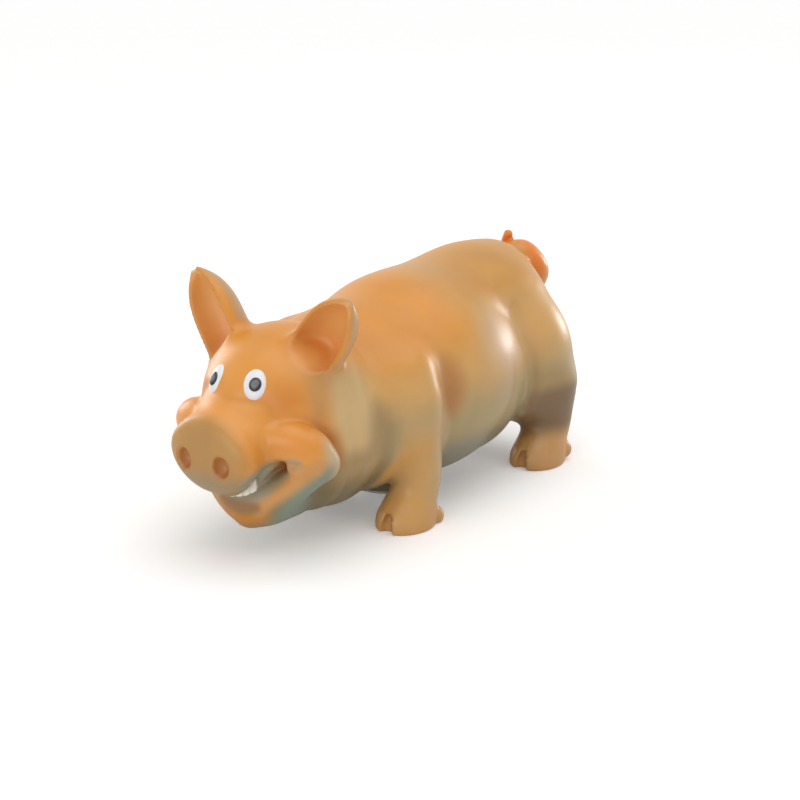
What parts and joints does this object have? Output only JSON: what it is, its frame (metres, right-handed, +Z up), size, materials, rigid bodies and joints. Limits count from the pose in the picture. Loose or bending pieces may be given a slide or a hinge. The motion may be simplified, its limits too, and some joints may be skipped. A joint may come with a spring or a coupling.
{
  "type": "latex pig dog toy",
  "caption": "Standing grinning pig dog toy: stuffed hollow latex skin on trotters, with a spring-return bellows grunter and its reed set in the belly.",
  "frame": {"origin": "centre of the bounding box on the floor that the four soles stand on", "axes": "+Z up, the pig looks along -Y, its left side is +X"},
  "size_m": [0.0914, 0.2225, 0.1076],
  "materials": {
    "latex_tan": "semi-gloss natural latex with airbrushed paint",
    "latex_orange": "semi-gloss natural latex with airbrushed paint",
    "latex_hoof": "semi-gloss natural latex with airbrushed paint",
    "eye_white": "glossy white paint on latex",
    "pupil_dark": "glossy dark paint on latex",
    "tooth_white": "off-white paint on latex",
    "wadding": "loose polyester fibre",
    "grunter_plastic": "moulded, fine matte",
    "bellows_rubber": "thin moulded rubber",
    "spring_steel": "drawn wire",
    "reed_brass": "rolled strip"
  },
  "bodies": {
    "pig": {"torso_skin": "latex_tan", "head_skin": "latex_orange", "tail": "latex_orange", "ear_left": "latex_orange", "ear_right": "latex_orange", "foreleg_left": "latex_hoof", "foreleg_right": "latex_hoof", "hindleg_left": "latex_hoof", "hindleg_right": "latex_hoof", "eye_left": "eye_white", "eye_right": "eye_white", "pupil_left": "pupil_dark", "pupil_right": "pupil_dark", "teeth": "tooth_white", "torso_filling": "wadding", "head_filling": "wadding", "sound_grille": "grunter_plastic", "bellows_base": "grunter_plastic", "reed_block": "grunter_plastic", "bellows": "bellows_rubber", "return_spring": "spring_steel", "reed_clamp": "reed_brass"},
    "press_plate": {"press_plate": "grunter_plastic"},
    "reed": {"reed": "reed_brass"}
  },
  "joints": [
    {"name": "grunter_press", "type": "slide", "parent": "pig", "child": "press_plate", "axis": [0, 0, -1], "range_m": [0, 0.012], "stiffness_N_per_m": 250, "deforming": ["bellows", "return_spring"]},
    {"name": "reed_flex", "type": "hinge", "parent": "pig", "child": "reed", "pos_m": [0, 0.0112, 0.02248], "axis": [1, 0, 0], "range_deg": [-4, 4], "stiffness_Nm_per_rad": 0.02}
  ]
}
